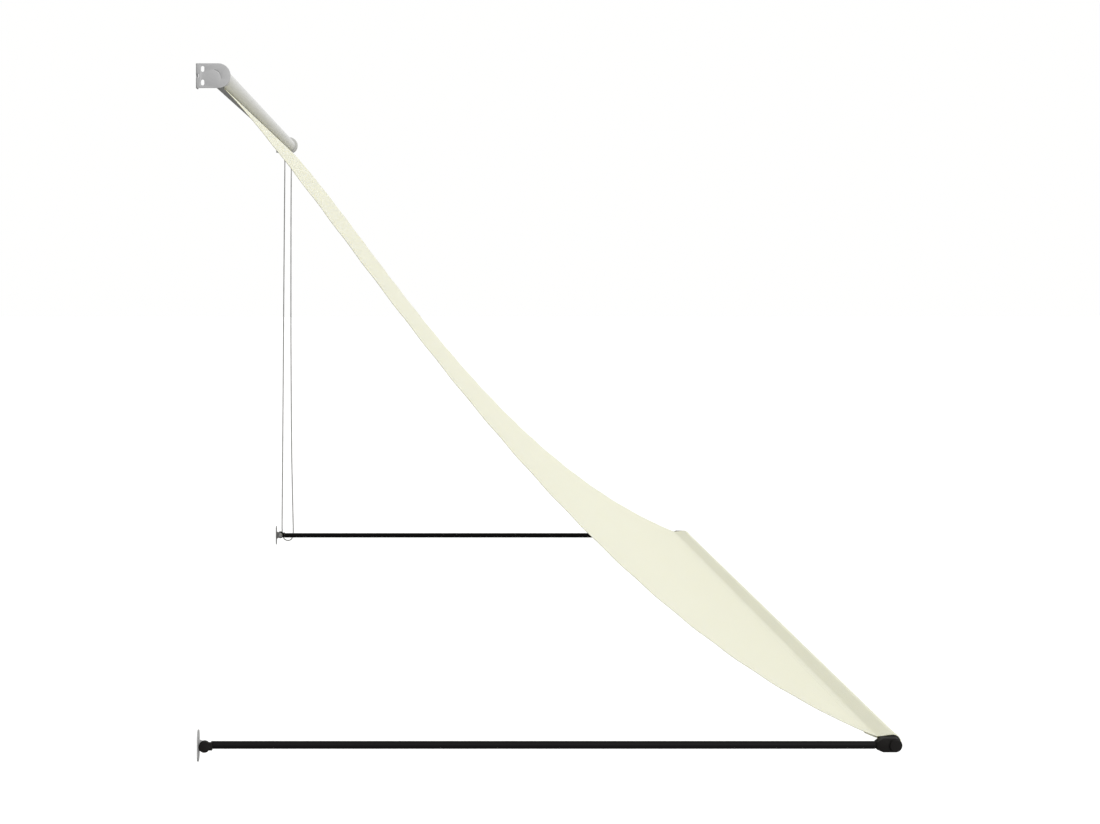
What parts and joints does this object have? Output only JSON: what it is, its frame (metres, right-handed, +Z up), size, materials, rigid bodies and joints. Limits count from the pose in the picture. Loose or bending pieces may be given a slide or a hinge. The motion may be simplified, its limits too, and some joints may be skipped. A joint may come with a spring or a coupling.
{
  "type": "drop-arm canvas awning",
  "caption": "Cream canvas awning on a roller held by wall brackets, let down by swinging arms and a front bar, worked by a cord loop.",
  "frame": {"origin": "middle of the left arm bracket's back face, on the wall plane, level with both arm pivots", "axes": "+X out from the wall, +Y along the wall to the right-hand side, +Z up"},
  "size_m": [1.1161, 2, 1.1045],
  "materials": {
    "grey_steel": "satin powder coat",
    "light_grey_steel": "satin powder coat",
    "roller_grey": "satin coated extrusion",
    "bright_steel": "zinc plated",
    "black_paint": "satin black powder coat",
    "black_plastic": "fine moulded grain",
    "grey_plastic": "moulded",
    "white_plastic": "moulded",
    "cream_cloth": "coated plain weave",
    "grey_cord": "braided"
  },
  "bodies": {
    "wall_side": {"roller_bracket_left": "grey_steel", "roller_bracket_right": "grey_steel", "idle_pin": "bright_steel", "clutch_post": "grey_plastic", "clutch_spring": "bright_steel", "cord_guard": "grey_plastic", "arm_bracket_left": "light_grey_steel", "arm_bracket_right": "light_grey_steel", "canopy": "cream_cloth", "pull_cord": "grey_cord"},
    "roller": {"roller_tube": "roller_grey", "welt_rod": "white_plastic", "idle_bush": "white_plastic", "idle_plug": "grey_plastic", "drive_plug": "grey_plastic", "cord_wheel": "white_plastic"},
    "arms": {"wall_knuckle_left": "black_plastic", "wall_knuckle_right": "black_plastic", "pivot_washer_left": "bright_steel", "pivot_washer_right": "bright_steel", "pivot_screw_left": "bright_steel", "pivot_screw_right": "bright_steel", "arm_tube_left": "black_paint", "arm_tube_right": "black_paint", "front_knuckle_left": "black_plastic", "front_knuckle_right": "black_plastic"},
    "bar_assembly": {"front_bar": "grey_steel", "bar_plug_left": "black_plastic", "bar_plug_right": "black_plastic", "bar_cap_left": "black_plastic", "bar_cap_right": "black_plastic"}
  },
  "joints": [
    {"name": "arm_lift", "type": "hinge", "parent": "wall_side", "child": "arms", "pos_m": [0.0115, 0, 0], "axis": [0, -1, 0], "range_deg": [0, 86], "deforming": ["canopy"]},
    {"name": "roller_spin", "type": "hinge", "parent": "wall_side", "child": "roller", "pos_m": [0.0351, 0, 1.057], "axis": [0, -1, 0], "range_deg": [0, 4400]},
    {"name": "bar_turn", "type": "hinge", "parent": "arms", "child": "bar_assembly", "pos_m": [1.103, 0, 0.001], "axis": [0, -1, 0], "range_deg": [-56, 0]}
  ],
  "couplings": [
    {"joint": "roller_spin", "follows": "arm_lift", "ratio": 51},
    {"joint": "bar_turn", "follows": "arm_lift", "ratio": -0.65}
  ]
}
